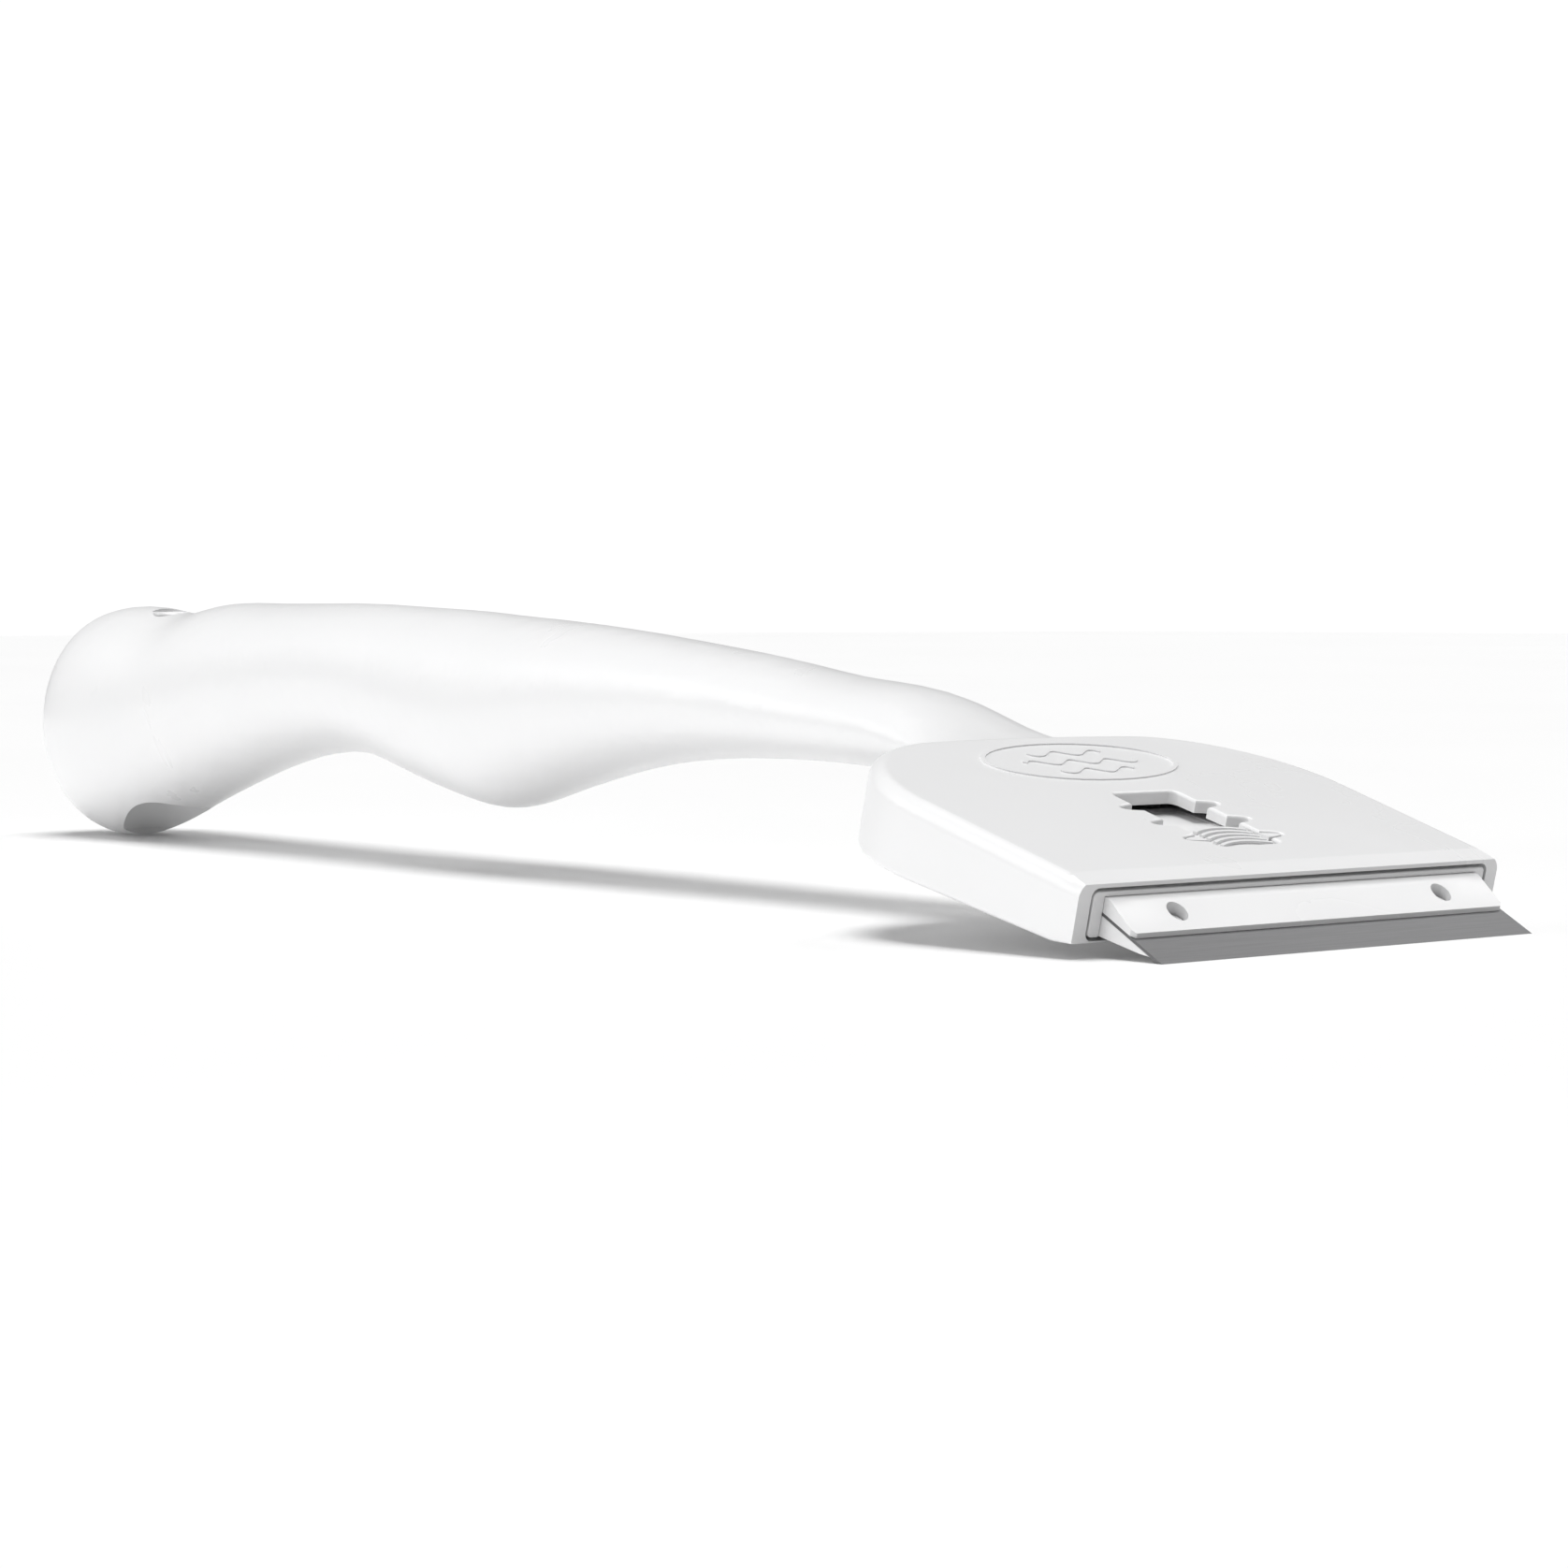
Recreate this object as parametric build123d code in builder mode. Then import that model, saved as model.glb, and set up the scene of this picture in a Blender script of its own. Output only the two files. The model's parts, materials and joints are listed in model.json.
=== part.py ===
"""Aquarium algae scraper with a retractable blade.

The scraper lies as it does on a table: the pommel and the blade's edge touch z = 0.
+X runs from the pommel to the blade, +Y across the blade, +Z up.
The origin is on the table, half way along. All sizes are in millimetres.
"""
from build123d import *
import math
import os

# Overall
OVERALL_LENGTH = 336.0      # butt of the pommel to the blade's edge
HEAD_TILT = 13.2            # slope of the head and of the blade's slide, degrees
EDGE_X = OVERALL_LENGTH / 2
BUTT_X = -OVERALL_LENGTH / 2
THROUGH = OVERALL_LENGTH    # depth of a cut that goes right through

# Blade
BLADE_WIDTH = 70.0
BLADE_DEPTH = 14.0          # edge to back
BLADE_THICKNESS = 0.4
BLADE_ANGLE = 15.3          # slope below the slide, degrees
BLADE_BEVEL = 1.2           # ground length under the edge
EDGE_FLAT = 0.02
BLADE_REACH = 11.6          # edge ahead of the head's rim
BLADE_DROP = 2.94           # edge below the middle of the mouth
PEG_SPACING = 50.0
PEG_FROM_EDGE = 9.2
PEG_RADIUS = 1.45
PEG_CLEARANCE = 0.12

# Clamp that holds the blade
CLAMP_BACK = -4.0           # behind the rim
CLAMP_TOP = 2.25
CLAMP_NOSE_X = 5.9
CLAMP_NOSE_HEIGHT = 0.65
CLAMP_SHOULDER_X = 0.6
BED_BOTTOM = -2.9
BED_NOSE_X = 9.3
BED_KNEE_X = 7.5
PEG_STAND = 0.1             # peg's top above the blade
SEAT_GAP = 0.1              # behind the blade's back
NOSE_CHAMFER = 0.6

# Mouth of the head, and the running gap round the slider
MOUTH_SIDE_ROOM = 2.4       # blade's end to the mouth's side
MOUTH_HALF_HEIGHT = 3.46
RUNNING_GAP = 0.45
CORNER_RADIUS = 1.2
CEILING_SLOPE = 0.035       # extra height of the cavity for each millimetre back
CAVITY_DEPTH = 39.5
TAIL_HALF_WIDTH = 13.0      # narrow bay behind the cavity, for the slider's tail
TAIL_DEPTH = 46.8

# Head
HEAD_SIDE_WALL = 2.8
HEAD_ROOF = 1.0             # over the mouth, at the rim
HEAD_ROOF_SLOPE = 0.064     # extra roof for each millimetre back
HEAD_FLOOR = 0.8
HEAD_SIDE_FLARE = 0.035     # extra half width for each millimetre back
HEAD_LENGTH = 53.0
HEAD_SWEEP = 3.0            # rear edge further back at the middle
SHOULDER_SHARE = 0.597      # radius of the rear corners as a share of the head's half width
RIM_BEVEL_LENGTH = 3.4
RIM_BEVEL_DROP = 0.45
RIM_BEVEL_SIDE = 0.6
TOP_EDGE_RADIUS = 2.3
BOTTOM_EDGE_RADIUS = 0.9

# Slot over the latch, with its three pairs of notches
SLOT_HALF_WIDTH = 6.05
SLOT_FRONT = -9.4
SLOT_BACK = -30.6
SLOT_EDGE_RADIUS = 0.5
NOTCH_PITCH = 6.2
NOTCH_COUNT = 3
NOTCH_FRONT = -12.7
NOTCH_LENGTH = 3.2
NOTCH_DEPTH = 3.1

# Slider
SLIDER_BACK = -25.8
SLIDER_TAIL = -33.6
SLIDER_FLOOR = 0.9
WINDOW_BACK = -31.4
POCKET_BACK = -23.5
POCKET_INNER = 14.0
POCKET_OUTER = 33.5
POCKET_FRONT = -6.5

# Latch tongue and thumb pad
TONGUE_THICKNESS = 1.0
TONGUE_SIDE_GAP = 0.35      # tongue's side to its window
EAR_GAP = 0.3               # round each ear in its notch
PAD_GAP = 0.3               # beside the pad in its slot
PAD_FRONT_GAP = 0.5
PAD_BACK = -16.6
PAD_RAMP = 3.4              # length of the hollow ramp behind the pad
RAMP_HOLLOW = 0.35          # ramp's depth below a straight slope
PAD_SINK = 0.15             # pad's face below the head's top
RIB_COUNT = 5
RIB_PITCH = 1.3
RIB_WIDTH = 0.55
RIB_HEIGHT = 0.45
RIB_BOW = 1.2               # how far a rib's middle lies behind its ends
RIB_END = 0.9               # a rib's end from the pad's side

# Handle
POMMEL_NOSE = 17.0          # rounded end, along X
POMMEL_HALF_WIDTH = 16.8
POMMEL_HEIGHT = 44.1
NECK_FILLET = 3.0
BUTT_TURNS = (80, 65, 45, 25, 0)    # sections round the butt, degrees from the tallest
SKIN_SWELL = 0.1            # the smooth skin bulges this far past its stations
GRIP_END = 4.0              # where the grip's stations end, behind the head

# Grip stations: share of the way from pommel to head, top, bottom, half width
GRIP_STATIONS = [
    (0.059, 44.0, 2.5, 16.4),
    (0.098, 43.1, 5.9, 15.8),
    (0.145, 44.5, 9.6, 15.1),
    (0.220, 44.9, 14.8, 14.2),
    (0.309, 44.9, 18.3, 13.5),
    (0.360, 44.7, 18.0, 13.5),
    (0.420, 44.1, 14.6, 13.8),
    (0.481, 43.4, 11.4, 14.4),
    (0.516, 42.8, 10.5, 14.6),
    (0.560, 42.1, 12.7, 14.5),
    (0.614, 41.1, 16.0, 14.0),
    (0.665, 39.9, 18.5, 13.4),
    (0.720, 38.4, 20.1, 12.8),
    (0.800, 35.9, 20.9, 12.1),
    (0.865, 33.6, 20.6, 11.9),
    (0.935, 31.0, 20.0, 12.6),
]
# Where the neck flares into the head: place ahead of the head's rear edge, rise over the
# head's top, bottom, half width as a share of the head's at the rim
NECK_STATIONS = [
    (-10.0, -1.4, 19.6, 0.358),
    (-6.0, -1.5, 18.6, 0.435),
    (-2.0, -1.4, 17.4, 0.597),
    (2.0, -1.3, 16.2, 0.771),
]

# Hanging hole through the pommel
HOLE_FROM_BUTT = 36.0
HOLE_SIDE = 2.0             # from the middle of the pommel, towards -Y
HOLE_RADIUS = 3.0
HOLE_TOP = 42.2             # straight part
HOLE_BOTTOM = 20.0
DISH_RADIUS = 1.2           # rounding round the top
BELL_RADIUS = 13.0          # wide mouth below
BELL_HEIGHT = 1.5
BELL_SLOPE = 0.55           # rise of the bell's wall at its rim, for each millimetre out

# Raised mark on the head
MARK_LENGTH = 16.0
MARK_WIDTH = 35.0
MARK_LINE = 0.7
MARK_HEIGHT = 0.2
MARK_X = -43.6
WAVE_LENGTH = 7.0
WAVE_SWING = 0.9
MARK_WAVES = [(-3.6, 2), (0, 3), (3.6, 2)]      # place along the head, number of waves

# The head's own plane: x along the slide, z square to it, at the middle of the mouth
tilt = math.radians(HEAD_TILT)
HEAD = Plane(
    origin=(
        EDGE_X - BLADE_REACH * math.cos(tilt) + BLADE_DROP * math.sin(tilt),
        0,
        BLADE_REACH * math.sin(tilt) + BLADE_DROP * math.cos(tilt),
    ),
    x_dir=(math.cos(tilt), 0, -math.sin(tilt)),
    z_dir=(math.sin(tilt), 0, math.cos(tilt)),
)
# The same place seen from the side: x along the slide, y square to it
SIDE = Plane(origin=HEAD.origin, x_dir=HEAD.x_dir, z_dir=(0, -1, 0))

MOUTH_HALF_WIDTH = BLADE_WIDTH / 2 + MOUTH_SIDE_ROOM
HEAD_HALF_WIDTH = MOUTH_HALF_WIDTH + HEAD_SIDE_WALL
HEAD_BOTTOM = -MOUTH_HALF_HEIGHT - HEAD_FLOOR
SLIDER_HALF_WIDTH = MOUTH_HALF_WIDTH - RUNNING_GAP
SLIDER_BOTTOM = -MOUTH_HALF_HEIGHT + RUNNING_GAP
SLIDER_TOP = MOUTH_HALF_HEIGHT - RUNNING_GAP


def roof(x):
    """Height of the head's top over the slide's middle, x ahead of the rim."""
    return MOUTH_HALF_HEIGHT + HEAD_ROOF - HEAD_ROOF_SLOPE * x


def ceiling(x):
    """Height of the cavity's ceiling, x ahead of the rim."""
    return MOUTH_HALF_HEIGHT - CEILING_SLOPE * x


def half_width(x):
    """Half width of the head, x ahead of the rim."""
    return HEAD_HALF_WIDTH - HEAD_SIDE_FLARE * x


def on_blade(distance, below=0.0):
    """Point in the side plane, a distance back from the edge and below the blade's face."""
    slope = math.radians(BLADE_ANGLE)
    x = BLADE_REACH - distance * math.cos(slope) - below * math.sin(slope)
    y = -BLADE_DROP + distance * math.sin(slope) - below * math.cos(slope)
    return (x, y)


def blade_face(x, below=0.0):
    """Point of the blade's face, or of a plane below it, at a given x."""
    slope = math.radians(BLADE_ANGLE)
    y = -BLADE_DROP + (BLADE_REACH - x) * math.tan(slope) - below / math.cos(slope)
    return (x, y)


def pad_face(x):
    """Height of the pad between its ribs, x ahead of the rim."""
    return roof(x) - PAD_SINK - RIB_HEIGHT


# Same sloping top as the head's, to stand the mark and the ribs on
roof_turn = math.atan(HEAD_ROOF_SLOPE) + tilt
TOP = Plane(
    origin=HEAD.from_local_coords((0, 0, roof(0))),
    x_dir=(math.cos(roof_turn), 0, -math.sin(roof_turn)),
    z_dir=(math.sin(roof_turn), 0, math.cos(roof_turn)),
)
RIM = Plane(origin=HEAD.origin, x_dir=(0, 1, 0), z_dir=HEAD.x_dir)
ALONG_SLIDE = Axis(HEAD.origin, HEAD.x_dir)

# The blade's face: x towards the edge, z square to the steel, at the middle of the edge
blade_turn = math.radians(HEAD_TILT + BLADE_ANGLE)
BLADE = Plane(
    origin=SIDE.from_local_coords(on_blade(0)),
    x_dir=(math.cos(blade_turn), 0, -math.sin(blade_turn)),
    z_dir=(math.sin(blade_turn), 0, math.cos(blade_turn)),
)
BLADE_SIDE = Plane(origin=BLADE.origin, x_dir=BLADE.x_dir, z_dir=(0, -1, 0))

CLAMP_HALF_WIDTH = BLADE_WIDTH / 2
BLADE_SEAT = BLADE_DEPTH + SEAT_GAP
PAD_HALF_WIDTH = SLOT_HALF_WIDTH - PAD_GAP
PAD_FRONT = SLOT_FRONT - PAD_FRONT_GAP
RIB_HALF_SPAN = PAD_HALF_WIDTH - RIB_END
EAR_HALF_LENGTH = NOTCH_LENGTH / 2 - EAR_GAP
EAR_REACH = SLOT_HALF_WIDTH + NOTCH_DEPTH - EAR_GAP
WINDOW_HALF_WIDTH = EAR_REACH + EAR_GAP
HOLE_X = BUTT_X + HOLE_FROM_BUTT

os.makedirs("parts", exist_ok=True)

# ---------------------------------------------------------------- handle body
HEAD_BACK = -HEAD_LENGTH
ROOT = HEAD.from_local_coords((HEAD_BACK - GRIP_END, 0, roof(HEAD_BACK - GRIP_END)))
POMMEL_X = BUTT_X + POMMEL_NOSE
POMMEL_MIDDLE = POMMEL_HEIGHT / 2

with BuildPart() as head_block:
    with BuildSketch(HEAD.offset(HEAD_BOTTOM)):
        with BuildLine():
            Polyline(
                (HEAD_BACK, half_width(HEAD_BACK)),
                (0, HEAD_HALF_WIDTH),
                (0, -HEAD_HALF_WIDTH),
                (HEAD_BACK, -half_width(HEAD_BACK)),
            )
            ThreePointArc(
                (HEAD_BACK, -half_width(HEAD_BACK)),
                (HEAD_BACK - HEAD_SWEEP, 0),
                (HEAD_BACK, half_width(HEAD_BACK)),
            )
        outline = make_face()
        fillet(outline.vertices().sort_by(Axis.X)[:2], SHOULDER_SHARE * HEAD_HALF_WIDTH)
    extrude(amount=THROUGH)
    with BuildSketch(SIDE):
        with BuildLine():
            Polyline(
                (0, HEAD_BOTTOM),
                (0, roof(0) - RIM_BEVEL_DROP),
                (-RIM_BEVEL_LENGTH, roof(-RIM_BEVEL_LENGTH)),
                (-THROUGH, roof(-THROUGH)),
                (-THROUGH, HEAD_BOTTOM),
                close=True,
            )
        make_face()
    extrude(amount=THROUGH, both=True, mode=Mode.INTERSECT)

with BuildPart() as grip:
    # Rounded butt: an egg's end, from its tip to the tallest section
    for turn in BUTT_TURNS:
        size = math.cos(math.radians(turn))
        with BuildSketch(Plane.YZ.offset(POMMEL_X - POMMEL_NOSE * math.sin(math.radians(turn)))):
            with Locations((0, POMMEL_MIDDLE)):
                Ellipse(POMMEL_HALF_WIDTH * size, (POMMEL_MIDDLE - SKIN_SWELL) * size)
    for share, top, bottom, width in GRIP_STATIONS:
        with BuildSketch(Plane.YZ.offset(POMMEL_X + share * (ROOT.X - POMMEL_X))):
            with Locations((0, (top + bottom) / 2)):
                Ellipse(width, (top - bottom) / 2)
    for place, rise, bottom, share in NECK_STATIONS:
        ahead = HEAD_BACK + place
        width = share * HEAD_HALF_WIDTH
        crest = HEAD.from_local_coords((ahead, 0, roof(ahead) + rise))
        with BuildSketch(Plane.YZ.offset(crest.X)):
            with Locations((0, (crest.Z + bottom) / 2)):
                Ellipse(width, (crest.Z - bottom) / 2)
    loft([Vertex(BUTT_X, 0, POMMEL_MIDDLE)] + grip.pending_faces)


with BuildPart() as cavity:
    for depth, width in ((CAVITY_DEPTH, MOUTH_HALF_WIDTH), (TAIL_DEPTH, TAIL_HALF_WIDTH)):
        with BuildSketch(SIDE):
            with BuildLine():
                Polyline(
                    (0, -MOUTH_HALF_HEIGHT),
                    (0, MOUTH_HALF_HEIGHT),
                    (-depth, ceiling(-depth)),
                    (-depth, -MOUTH_HALF_HEIGHT),
                    close=True,
                )
            make_face()
        extrude(amount=width, both=True)
    sides = cavity.faces().filter_by(Axis.Y).sort_by(Axis.Y)
    long_edges = (sides[0].edges() + sides[-1].edges()).filter_by(
        lambda edge: edge.length > CAVITY_DEPTH - CORNER_RADIUS
    )
    fillet(long_edges, CORNER_RADIUS)

with BuildPart() as handle_body:
    add(head_block)
    lid = handle_body.faces().sort_by(Axis(HEAD.origin, HEAD.z_dir))[-1]
    fillet(lid.edges().sort_by(ALONG_SLIDE)[:-1], TOP_EDGE_RADIUS)
    base = handle_body.faces().sort_by(Axis(HEAD.origin, HEAD.z_dir))[0]
    fillet(base.edges().sort_by(ALONG_SLIDE)[:-1], BOTTOM_EDGE_RADIUS)
    rim = handle_body.faces().sort_by(ALONG_SLIDE)[-1]
    rim_sides = rim.edges().filter_by(lambda edge: edge.length < HEAD_HALF_WIDTH)
    chamfer(rim_sides, RIM_BEVEL_SIDE, RIM_BEVEL_LENGTH, reference=rim)
    add(grip)
    # Blend where the neck runs into the back of the head
    fillet(handle_body.edges(Select.NEW), NECK_FILLET)
    # Mouth and cavity for the slider, and the bay for its tail
    add(cavity, mode=Mode.SUBTRACT)
    # Slot with a pair of notches for each place where the latch holds
    with BuildSketch(HEAD):
        with Locations(((SLOT_FRONT + SLOT_BACK) / 2, 0)):
            RectangleRounded(SLOT_FRONT - SLOT_BACK, 2 * SLOT_HALF_WIDTH, CORNER_RADIUS)
        for notch in range(NOTCH_COUNT):
            with Locations((NOTCH_FRONT - notch * NOTCH_PITCH, 0)):
                Ellipse(NOTCH_LENGTH / 2, SLOT_HALF_WIDTH + NOTCH_DEPTH)
    extrude(amount=THROUGH, mode=Mode.SUBTRACT)
    lid = handle_body.faces().filter_by(GeomType.PLANE).sort_by(SortBy.AREA)
    lid = lid.filter_by(lambda face: len(face.inner_wires()) == 1).sort_by(Axis.Z)[-1]
    fillet(lid.inner_wires()[0].edges(), SLOT_EDGE_RADIUS)
    # Hanging hole: straight in the middle, rounded at the top, a bell mouth below
    with BuildSketch(Plane.XZ.offset(HOLE_SIDE)):
        with BuildLine():
            dish_edge = (HOLE_X + HOLE_RADIUS + DISH_RADIUS, HOLE_TOP + DISH_RADIUS)
            wall_top = (HOLE_X + HOLE_RADIUS, HOLE_TOP)
            wall_bottom = (HOLE_X + HOLE_RADIUS, HOLE_BOTTOM)
            bell_edge = (HOLE_X + BELL_RADIUS, BELL_HEIGHT)
            Polyline(
                bell_edge,
                (HOLE_X + BELL_RADIUS, -BELL_HEIGHT),
                (HOLE_X, -BELL_HEIGHT),
                (HOLE_X, POMMEL_HEIGHT + DISH_RADIUS),
                (HOLE_X + HOLE_RADIUS + DISH_RADIUS, POMMEL_HEIGHT + DISH_RADIUS),
                dish_edge,
            )
            RadiusArc(dish_edge, wall_top, -DISH_RADIUS)
            Line(wall_top, wall_bottom)
            Spline(wall_bottom, bell_edge, tangents=[(0, -1), (1, -BELL_SLOPE)])
        make_face()
    revolve(axis=Axis((HOLE_X, -HOLE_SIDE, 0), (0, 0, 1)), mode=Mode.SUBTRACT)
    # Raised oval mark with waves, standing on the sloping top
    with BuildSketch(TOP.offset(-MARK_HEIGHT)):
        with Locations((MARK_X, 0)):
            Ellipse(MARK_LENGTH / 2, MARK_WIDTH / 2)
            Ellipse(MARK_LENGTH / 2 - MARK_LINE, MARK_WIDTH / 2 - MARK_LINE, mode=Mode.SUBTRACT)
    extrude(amount=2 * MARK_HEIGHT)
    with BuildSketch(TOP.offset(-MARK_HEIGHT)):
        for line_place, waves in MARK_WAVES:
            quarter = WAVE_LENGTH / 4
            crossings = [(step - 2 * waves) * quarter for step in range(4 * waves + 1)]
            with BuildLine():
                Spline(*[
                    (MARK_X + line_place + WAVE_SWING * math.sin(math.pi / 2 * y / quarter), y)
                    for y in crossings
                ])
            trace(line_width=MARK_LINE)
    extrude(amount=2 * MARK_HEIGHT)

handle_body.part.label = "handle_body"
export_step(handle_body.part, "parts/handle_body.step")

# ---------------------------------------------------------------- slider
with BuildPart() as slider:
    with BuildSketch(RIM):
        with Locations((0, (SLIDER_TOP + SLIDER_BOTTOM) / 2)):
            RectangleRounded(
                2 * SLIDER_HALF_WIDTH, SLIDER_TOP - SLIDER_BOTTOM, CORNER_RADIUS - RUNNING_GAP
            )
    extrude(amount=SLIDER_BACK)
    # Narrow tail that carries the root of the latch
    with BuildSketch(HEAD.offset(SLIDER_BOTTOM)):
        with Locations(((SLIDER_TAIL + SLIDER_BACK) / 2, 0)):
            Rectangle(SLIDER_BACK - SLIDER_TAIL, 2 * (TAIL_HALF_WIDTH - RUNNING_GAP))
    extrude(amount=SLIDER_TOP - SLIDER_BOTTOM)
    # Bay for the clamp, open to the front and below
    with BuildSketch(SIDE):
        with Locations((CLAMP_BACK / 2, (CLAMP_TOP + 2 * SLIDER_BOTTOM) / 2)):
            Rectangle(-CLAMP_BACK, CLAMP_TOP - 2 * SLIDER_BOTTOM)
    extrude(amount=CLAMP_HALF_WIDTH, both=True, mode=Mode.SUBTRACT)
    # Window for the latch, and a pocket on each side of it
    with BuildSketch(HEAD.offset(SLIDER_BOTTOM + SLIDER_FLOOR)):
        with Locations(((WINDOW_BACK + SLOT_FRONT) / 2, 0)):
            Rectangle(SLOT_FRONT - WINDOW_BACK, 2 * WINDOW_HALF_WIDTH)
        with Locations(((POCKET_BACK + POCKET_FRONT) / 2, 0)):
            with GridLocations(0, POCKET_INNER + POCKET_OUTER, 1, 2):
                Rectangle(POCKET_FRONT - POCKET_BACK, POCKET_OUTER - POCKET_INNER)
    extrude(amount=THROUGH, mode=Mode.SUBTRACT)

slider.part.label = "slider"
export_step(slider.part, "parts/slider.step")

# ---------------------------------------------------------------- latch tongue
with BuildPart() as latch_tongue:
    with BuildSketch(HEAD.offset(SLIDER_TOP - TONGUE_THICKNESS)):
        with Locations(((WINDOW_BACK + PAD_FRONT) / 2, 0)):
            Rectangle(PAD_FRONT - WINDOW_BACK, 2 * (WINDOW_HALF_WIDTH - TONGUE_SIDE_GAP))
    extrude(amount=TONGUE_THICKNESS)
    # Ears that stand up into the notches, one on each side of the pad
    with BuildSketch(HEAD.offset(SLIDER_TOP)):
        with Locations((NOTCH_FRONT, 0)):
            Ellipse(EAR_HALF_LENGTH, EAR_REACH)
            Rectangle(4 * EAR_HALF_LENGTH, 2 * PAD_HALF_WIDTH, mode=Mode.SUBTRACT)
    extrude(amount=roof(NOTCH_FRONT) - PAD_SINK - SLIDER_TOP)

latch_tongue.part.label = "latch_tongue"
export_step(latch_tongue.part, "parts/latch_tongue.step")

# ---------------------------------------------------------------- thumb pad
with BuildPart() as thumb_pad:
    with BuildSketch(SIDE):
        with BuildLine():
            Polyline(
                (PAD_BACK - PAD_RAMP, SLIDER_TOP),
                (PAD_FRONT, SLIDER_TOP),
                (PAD_FRONT, pad_face(PAD_FRONT)),
                (PAD_BACK, pad_face(PAD_BACK)),
            )
            ThreePointArc(
                (PAD_BACK, pad_face(PAD_BACK)),
                (PAD_BACK - PAD_RAMP / 2, (pad_face(PAD_BACK) + SLIDER_TOP) / 2 - RAMP_HOLLOW),
                (PAD_BACK - PAD_RAMP, SLIDER_TOP),
            )
        make_face()
    extrude(amount=PAD_HALF_WIDTH, both=True)
    # Bowed ribs for the thumb
    with BuildSketch(TOP.offset(-PAD_SINK - 2 * RIB_HEIGHT)):
        for rib in range(RIB_COUNT):
            x = (PAD_FRONT + PAD_BACK + RIB_BOW) / 2 + (rib - (RIB_COUNT - 1) / 2) * RIB_PITCH
            with BuildLine():
                ThreePointArc((x, -RIB_HALF_SPAN), (x - RIB_BOW, 0), (x, RIB_HALF_SPAN))
            trace(line_width=RIB_WIDTH)
    extrude(amount=2 * RIB_HEIGHT)

thumb_pad.part.label = "thumb_pad"
export_step(thumb_pad.part, "parts/thumb_pad.step")

# ---------------------------------------------------------------- blade
with BuildPart() as blade:
    with BuildSketch(BLADE):
        with Locations((-BLADE_DEPTH / 2, 0)):
            Rectangle(BLADE_DEPTH, BLADE_WIDTH)
        with Locations((-PEG_FROM_EDGE, 0)):
            with GridLocations(0, PEG_SPACING, 1, 2):
                Circle(PEG_RADIUS + PEG_CLEARANCE, mode=Mode.SUBTRACT)
    extrude(amount=-BLADE_THICKNESS)
    # Ground on its underside, down to a fine edge
    with BuildSketch(BLADE_SIDE):
        with BuildLine():
            Polyline(
                (0, -EDGE_FLAT),
                (-BLADE_BEVEL, -BLADE_THICKNESS),
                (0, -BLADE_THICKNESS),
                close=True,
            )
        make_face()
    extrude(amount=BLADE_WIDTH, both=True, mode=Mode.SUBTRACT)

blade.part.label = "blade"
export_step(blade.part, "parts/blade.step")

# ---------------------------------------------------------------- blade bed
with BuildPart() as blade_bed:
    with BuildSketch(SIDE):
        with BuildLine():
            Polyline(
                (CLAMP_BACK, BED_BOTTOM),
                (BED_KNEE_X, BED_BOTTOM),
                blade_face(BED_NOSE_X, BLADE_THICKNESS),
                on_blade(BLADE_SEAT, BLADE_THICKNESS),
                (CLAMP_BACK, on_blade(BLADE_SEAT, BLADE_THICKNESS)[1]),
                close=True,
            )
        make_face()
    extrude(amount=CLAMP_HALF_WIDTH, both=True)
    # Pegs that hold the blade by its holes
    with BuildSketch(BLADE.offset(-BLADE_THICKNESS)):
        with Locations((-PEG_FROM_EDGE, 0)):
            with GridLocations(0, PEG_SPACING, 1, 2):
                Circle(PEG_RADIUS)
    extrude(amount=BLADE_THICKNESS + PEG_STAND)

blade_bed.part.label = "blade_bed"
export_step(blade_bed.part, "parts/blade_bed.step")

# ---------------------------------------------------------------- blade clamp
with BuildPart() as blade_clamp:
    with BuildSketch(SIDE):
        with BuildLine():
            Polyline(
                (CLAMP_BACK, CLAMP_TOP),
                (CLAMP_SHOULDER_X, CLAMP_TOP),
                (CLAMP_NOSE_X, blade_face(CLAMP_NOSE_X)[1] + CLAMP_NOSE_HEIGHT),
                blade_face(CLAMP_NOSE_X),
                on_blade(BLADE_SEAT),
                on_blade(BLADE_SEAT, BLADE_THICKNESS),
                (CLAMP_BACK, on_blade(BLADE_SEAT, BLADE_THICKNESS)[1]),
                close=True,
            )
        make_face()
    extrude(amount=CLAMP_HALF_WIDTH, both=True)
    nose = blade_clamp.edges().group_by(ALONG_SLIDE)[-1].filter_by(Axis.Y, reverse=True)
    chamfer(nose, NOSE_CHAMFER)
    with BuildSketch(BLADE):
        with Locations((-PEG_FROM_EDGE, 0)):
            with GridLocations(0, PEG_SPACING, 1, 2):
                Circle(PEG_RADIUS + PEG_CLEARANCE)
    extrude(amount=BLADE_DEPTH, mode=Mode.SUBTRACT)

blade_clamp.part.label = "blade_clamp"
export_step(blade_clamp.part, "parts/blade_clamp.step")
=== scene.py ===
"""Looks of the aquarium algae scraper: moulded white handle, sliding carriage and steel blade.

Everything is in metres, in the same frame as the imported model: +X runs to the blade, +Z up.
"""
import json
from math import cos, radians, sin

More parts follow.
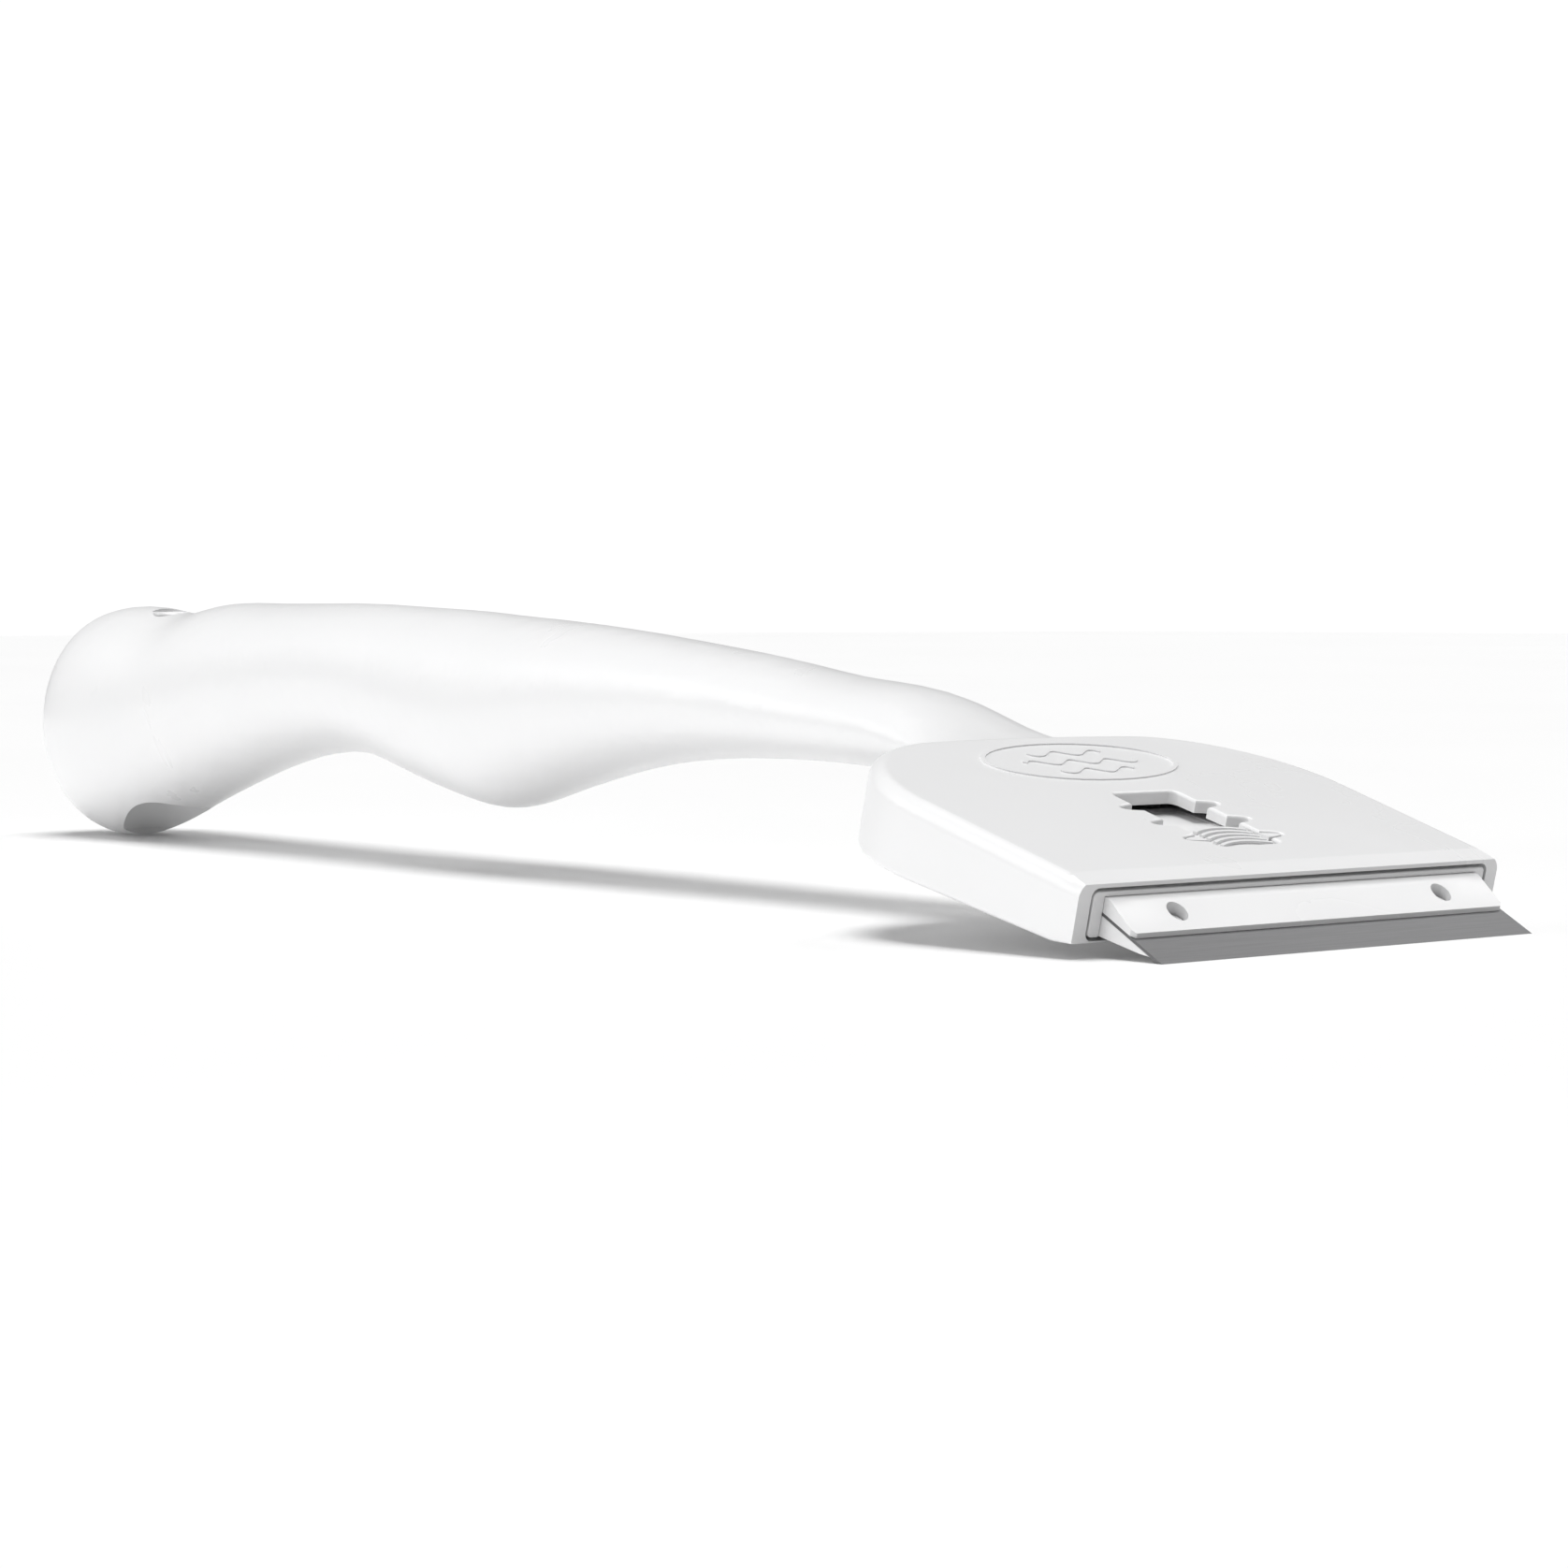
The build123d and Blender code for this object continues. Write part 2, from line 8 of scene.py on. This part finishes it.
import bmesh
import bpy
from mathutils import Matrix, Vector

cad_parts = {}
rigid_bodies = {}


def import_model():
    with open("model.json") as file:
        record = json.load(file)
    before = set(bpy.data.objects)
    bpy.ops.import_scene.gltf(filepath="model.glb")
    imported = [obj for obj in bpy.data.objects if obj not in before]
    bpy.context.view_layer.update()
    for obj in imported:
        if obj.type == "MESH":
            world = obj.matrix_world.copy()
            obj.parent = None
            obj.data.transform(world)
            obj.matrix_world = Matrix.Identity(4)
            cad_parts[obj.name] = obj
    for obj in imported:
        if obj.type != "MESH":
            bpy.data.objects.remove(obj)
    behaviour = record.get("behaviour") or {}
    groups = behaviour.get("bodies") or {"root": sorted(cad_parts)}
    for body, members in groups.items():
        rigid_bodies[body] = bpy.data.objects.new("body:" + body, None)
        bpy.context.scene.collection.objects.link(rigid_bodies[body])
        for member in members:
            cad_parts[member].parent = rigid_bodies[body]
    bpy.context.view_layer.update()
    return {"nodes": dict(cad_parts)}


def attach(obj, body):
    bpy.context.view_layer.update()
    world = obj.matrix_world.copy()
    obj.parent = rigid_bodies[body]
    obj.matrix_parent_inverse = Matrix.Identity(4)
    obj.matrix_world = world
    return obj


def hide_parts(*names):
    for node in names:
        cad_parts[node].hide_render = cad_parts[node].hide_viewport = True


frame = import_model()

# ------------------------------------------------------------------ handle and head
# The handle and its flat head are one thick moulding in white ABS, polished in the mould.
# Its mouth, slot, hanging hole and raised mark come from the mould, so their edges are slightly round.
# The finish is a soft gloss with a faint flow pattern and the shallow orange peel of thick plastic.
HANDLE_LIGHT = (0.80, 0.80, 0.803, 1)
HANDLE_SHADE = (0.775, 0.776, 0.78, 1)
HANDLE_EDGE = 0.00012
GLOSS_SWING = 0.03
PLASTIC_IOR = 1.5
SAME_POINT = 1e-6
FLAT_ANGLE = radians(0.5)


def moulded_plastic(name, light, shade, gloss, peel_size, peel_depth, flow_size=0.03):
    """Moulded plastic: a faint flow pattern in its colour, uneven gloss and shallow orange peel."""
    plastic = bpy.data.materials.new(name)
    plastic.use_nodes = True
    nodes, links = plastic.node_tree.nodes, plastic.node_tree.links
    shader = nodes["Principled BSDF"]
    shader.inputs["IOR"].default_value = PLASTIC_IOR
    place = nodes.new("ShaderNodeTexCoord")

    flow = nodes.new("ShaderNodeTexNoise")
    flow.inputs["Scale"].default_value = 1 / flow_size
    flow.inputs["Detail"].default_value = 4
    flow.inputs["Distortion"].default_value = 1.2
    links.new(place.outputs["Object"], flow.inputs["Vector"])
    tint = nodes.new("ShaderNodeMix")
    tint.data_type = "RGBA"
    tint.inputs["A"].default_value = light
    tint.inputs["B"].default_value = shade
    links.new(flow.outputs["Fac"], tint.inputs["Factor"])
    links.new(tint.outputs["Result"], shader.inputs["Base Color"])

    polish = nodes.new("ShaderNodeMapRange")
    polish.inputs["From Min"].default_value = 0.3
    polish.inputs["From Max"].default_value = 0.7
    polish.inputs["To Min"].default_value = gloss - GLOSS_SWING
    polish.inputs["To Max"].default_value = gloss + GLOSS_SWING
    links.new(flow.outputs["Fac"], polish.inputs["Value"])
    links.new(polish.outputs["Result"], shader.inputs["Roughness"])

    peel = nodes.new("ShaderNodeTexNoise")
    peel.inputs["Scale"].default_value = 1 / peel_size
    peel.inputs["Detail"].default_value = 2
    links.new(place.outputs["Object"], peel.inputs["Vector"])
    dents = nodes.new("ShaderNodeBump")
    dents.inputs["Strength"].default_value = 1
    dents.inputs["Distance"].default_value = peel_depth
    links.new(peel.outputs["Fac"], dents.inputs["Height"])
    links.new(dents.outputs["Normal"], shader.inputs["Normal"])
    return plastic


def finish(piece, material):
    """Gives every slot of a piece its finish."""
    if not piece.data.materials:
        piece.data.materials.append(material)
    for slot in piece.material_slots:
        slot.material = material


def softened(name, node, edge, sharp=30):
    """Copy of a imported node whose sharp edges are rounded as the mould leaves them."""
    shape = bmesh.new()
    shape.from_mesh(frame["nodes"][node].data)
    bmesh.ops.remove_doubles(shape, verts=shape.verts, dist=SAME_POINT)
    bmesh.ops.dissolve_limit(shape, angle_limit=FLAT_ANGLE, verts=shape.verts, edges=shape.edges)
    mesh = bpy.data.meshes.new(name)
    shape.to_mesh(mesh)
    shape.free()
    for layer in ("custom_normal", "sharp_edge", "sharp_face"):
        if layer in mesh.attributes:
            mesh.attributes.remove(mesh.attributes[layer])
    for face in mesh.polygons:
        face.use_smooth = True
    piece = bpy.data.objects.new(name, mesh)
    bpy.context.scene.collection.objects.link(piece)
    rounding = piece.modifiers.new("rounding", "BEVEL")
    rounding.width = edge
    rounding.segments = 3
    rounding.limit_method = "ANGLE"
    rounding.angle_limit = radians(sharp)
    rounding.use_clamp_overlap = True
    rounding.harden_normals = True
    flats = piece.modifiers.new("flats", "WEIGHTED_NORMAL")
    flats.weight = 100
    flats.keep_sharp = True
    bpy.context.view_layer.update()
    shaped = piece.evaluated_get(bpy.context.evaluated_depsgraph_get())
    done = bpy.data.meshes.new_from_object(shaped)
    piece.modifiers.clear()
    piece.data = done
    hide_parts(node)
    return piece


handle_white = moulded_plastic("handle_white_abs", HANDLE_LIGHT, HANDLE_SHADE, gloss=0.30,
                               peel_size=0.0016, peel_depth=0.000003)
handle = softened("moulded_handle", "handle_body", HANDLE_EDGE)
finish(handle, handle_white)
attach(handle, "handle")

# ------------------------------------------------------------------ slider
# The slider runs in the head's mouth: a thin frame round the clamp in front, a deck behind.
# It is moulded in the same white ABS, a little duller where it rubs.
SLIDER_EDGE = 0.00018


SLIDER_LIGHT = (0.79, 0.79, 0.793, 1)
SLIDER_SHADE = (0.765, 0.766, 0.77, 1)
slider_white = moulded_plastic("slider_white_abs", SLIDER_LIGHT, SLIDER_SHADE, gloss=0.36,
                               peel_size=0.0011, peel_depth=0.000003)
slider = softened("slider_frame", "slider", SLIDER_EDGE)
finish(slider, slider_white)
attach(slider, "carriage")

# ------------------------------------------------------------------ latch tongue
# A flat spring tongue, moulded in one with the slider and free on three sides.
# Its two ears stand up into a pair of notches in the head and hold the blade in or out.
TONGUE_EDGE = 0.0002
tongue = softened("latch_tongue_ears", "latch_tongue", TONGUE_EDGE)
finish(tongue, slider_white)
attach(tongue, "button")

# ------------------------------------------------------------------ thumb pad
# The thumb pad is moulded on the tongue in the same white ABS, with a hollow ramp behind it.
# Five bowed ribs give the thumb its grip.
PAD_EDGE = 0.00016
pad = softened("ribbed_thumb_pad", "thumb_pad", PAD_EDGE)
finish(pad, slider_white)
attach(pad, "button")

# ------------------------------------------------------------------ blade bed
# The lower half of the clamp, a wedge-shaped moulding in a slightly glossier white plastic.
# Two round pegs stand on it and hold the blade by its holes.
BED_EDGE = 0.00022
CLAMP_LIGHT = (0.73, 0.73, 0.733, 1)
CLAMP_SHADE = (0.71, 0.71, 0.715, 1)
clamp_white = moulded_plastic("clamp_white_abs", CLAMP_LIGHT, CLAMP_SHADE, gloss=0.26,
                              peel_size=0.0014, peel_depth=0.000003)
bed = softened("clamp_bed", "blade_bed", BED_EDGE)
finish(bed, clamp_white)
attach(bed, "carriage")

# ------------------------------------------------------------------ blade clamp
# The upper half of the clamp, moulded in the same plastic as the bed.
# It is a wedge with a chamfered nose and a round hole over each peg.
CLAMP_EDGE = 0.00025
clamp = softened("clamp_top", "blade_clamp", CLAMP_EDGE)
finish(clamp, clamp_white)
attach(clamp, "carriage")

# ------------------------------------------------------------------ blade
# A strip of stainless steel 0.4 mm thick, ground along its underside to the edge.
# Rolling leaves fine lines along it, a little uneven in gloss.
STEEL_LIGHT = (0.19, 0.19, 0.193, 1)
STEEL_SHADE = (0.168, 0.168, 0.171, 1)
LINE_PITCH = 0.00025
BLADE_EDGE = 0.00002


def rolled_steel(name, light, shade, line_pitch):
    """Stainless strip: fine rolling lines along Y in its colour, gloss and surface."""
    steel = bpy.data.materials.new(name)
    steel.use_nodes = True
    nodes, links = steel.node_tree.nodes, steel.node_tree.links
    shader = nodes["Principled BSDF"]
    shader.inputs["Metallic"].default_value = 1
    place = nodes.new("ShaderNodeTexCoord")
    stretch = nodes.new("ShaderNodeMapping")
    stretch.inputs["Scale"].default_value = (1 / line_pitch, 0.02 / line_pitch, 1 / line_pitch)
    links.new(place.outputs["Object"], stretch.inputs["Vector"])
    lines = nodes.new("ShaderNodeTexNoise")
    lines.inputs["Scale"].default_value = 1
    lines.inputs["Detail"].default_value = 3
    links.new(stretch.outputs["Vector"], lines.inputs["Vector"])
    tint = nodes.new("ShaderNodeMix")
    tint.data_type = "RGBA"
    tint.inputs["A"].default_value = light
    tint.inputs["B"].default_value = shade
    links.new(lines.outputs["Fac"], tint.inputs["Factor"])
    links.new(tint.outputs["Result"], shader.inputs["Base Color"])
    polish = nodes.new("ShaderNodeMapRange")
    polish.inputs["To Min"].default_value = 0.34
    polish.inputs["To Max"].default_value = 0.5
    links.new(lines.outputs["Fac"], polish.inputs["Value"])
    links.new(polish.outputs["Result"], shader.inputs["Roughness"])
    scratches = nodes.new("ShaderNodeBump")
    scratches.inputs["Strength"].default_value = 1
    scratches.inputs["Distance"].default_value = 0.000002
    links.new(lines.outputs["Fac"], scratches.inputs["Height"])
    links.new(scratches.outputs["Normal"], shader.inputs["Normal"])
    return steel


blade = softened("steel_blade", "blade", BLADE_EDGE)
finish(blade, rolled_steel("rolled_stainless", STEEL_LIGHT, STEEL_SHADE, LINE_PITCH))
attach(blade, "carriage")

# ------------------------------------------------------------------ table
# A plain white table that the scraper lies on.
# It is wide enough to reach past every view, and smooth, with a dull finish.
TABLE_HALF = 6.0
TABLE_GLOW = 0.02
table_mesh = bpy.data.meshes.new("white_table")
corners = [(x * TABLE_HALF, y * TABLE_HALF, 0) for x, y in ((-1, -1), (1, -1), (1, 1), (-1, 1))]
table_mesh.from_pydata(corners, [], [(0, 1, 2, 3)])
table = bpy.data.objects.new("white_table", table_mesh)
bpy.context.scene.collection.objects.link(table)
table_white = moulded_plastic("table_white", (0.97, 0.97, 0.97, 1), (0.96, 0.96, 0.96, 1), gloss=0.6,
                              peel_size=0.002, peel_depth=0.0, flow_size=0.4)
table_shader = table_white.node_tree.nodes["Principled BSDF"]
table_shader.inputs["Emission Color"].default_value = (1, 1, 1, 1)
table_shader.inputs["Emission Strength"].default_value = TABLE_GLOW
finish(table, table_white)

# ------------------------------------------------------------------ light
# Plain soft studio light: a white room with broad lamps overhead, behind and to the left.
# Three lamps on the near side light the scraper alone, so its shadow on the table stays dark.
ROOM_SEEN = 1.05
ROOM_GLOW = 0.08


def soft_lamp(name, turn, height, width, power):
    """Broad soft lamp far off: turn from +X, height over the table and width in degrees."""
    lamp = bpy.data.lights.new(name, "SUN")
    lamp.energy = power
    lamp.angle = radians(width)
    holder = bpy.data.objects.new(name, lamp)
    bpy.context.scene.collection.objects.link(holder)
    level = cos(radians(height))
    towards = Vector((level * cos(radians(turn)), level * sin(radians(turn)), sin(radians(height))))
    holder.location = towards
    holder.rotation_euler = (-towards).to_track_quat("-Z", "Y").to_euler()
    return holder


room = bpy.data.worlds.new("white_room")
room.use_nodes = True
room_light = room.node_tree.nodes["Background"]
room_light.inputs["Color"].default_value = (1, 1, 1, 1)
seen = room.node_tree.nodes.new("ShaderNodeLightPath")
strength = room.node_tree.nodes.new("ShaderNodeMapRange")
strength.inputs["To Min"].default_value = ROOM_GLOW
strength.inputs["To Max"].default_value = ROOM_SEEN
room.node_tree.links.new(seen.outputs["Is Camera Ray"], strength.inputs["Value"])
room.node_tree.links.new(strength.outputs["Result"], room_light.inputs["Strength"])
bpy.context.scene.world = room

soft_lamp("overhead", 0, 90, 38, 2.6)
soft_lamp("behind", 90, 45, 34, 0.67)
soft_lamp("left", -135, 35, 34, 0.34)
near_side = soft_lamp("near_side", -90, 30, 34, 1.0)
low_side = soft_lamp("low_side", -100, 8, 24, 0.35)
under_side = soft_lamp("under_side", -110, -22, 30, 0.5)
scraper_pieces = bpy.data.collections.new("scraper_pieces")
for piece in bpy.context.scene.objects:
    if piece.type == "MESH" and piece is not table:
        scraper_pieces.objects.link(piece)
for lamp in (near_side, low_side, under_side):
    lamp.light_linking.receiver_collection = scraper_pieces
under_side.light_linking.blocker_collection = scraper_pieces

# ------------------------------------------------------------------ camera
# A long lens, level with the grip and ahead of the blade's corner.
# It looks back along the handle and slightly down.
CAMERA_PLACE = (0.49049, -0.35696, 0.04312)
CAMERA_TURN = 50.904
CAMERA_DIP = 2.641
lens = bpy.data.cameras.new("camera")
lens.sensor_width = 36
lens.lens = 85
lens.clip_start = 0.01
camera = bpy.data.objects.new("camera", lens)
bpy.context.scene.collection.objects.link(camera)
camera.location = CAMERA_PLACE
camera.rotation_euler = (radians(90 - CAMERA_DIP), 0, radians(CAMERA_TURN))
bpy.context.scene.camera = camera
bpy.context.scene.view_settings.view_transform = "Standard"
bpy.context.scene.cycles.use_denoising = True
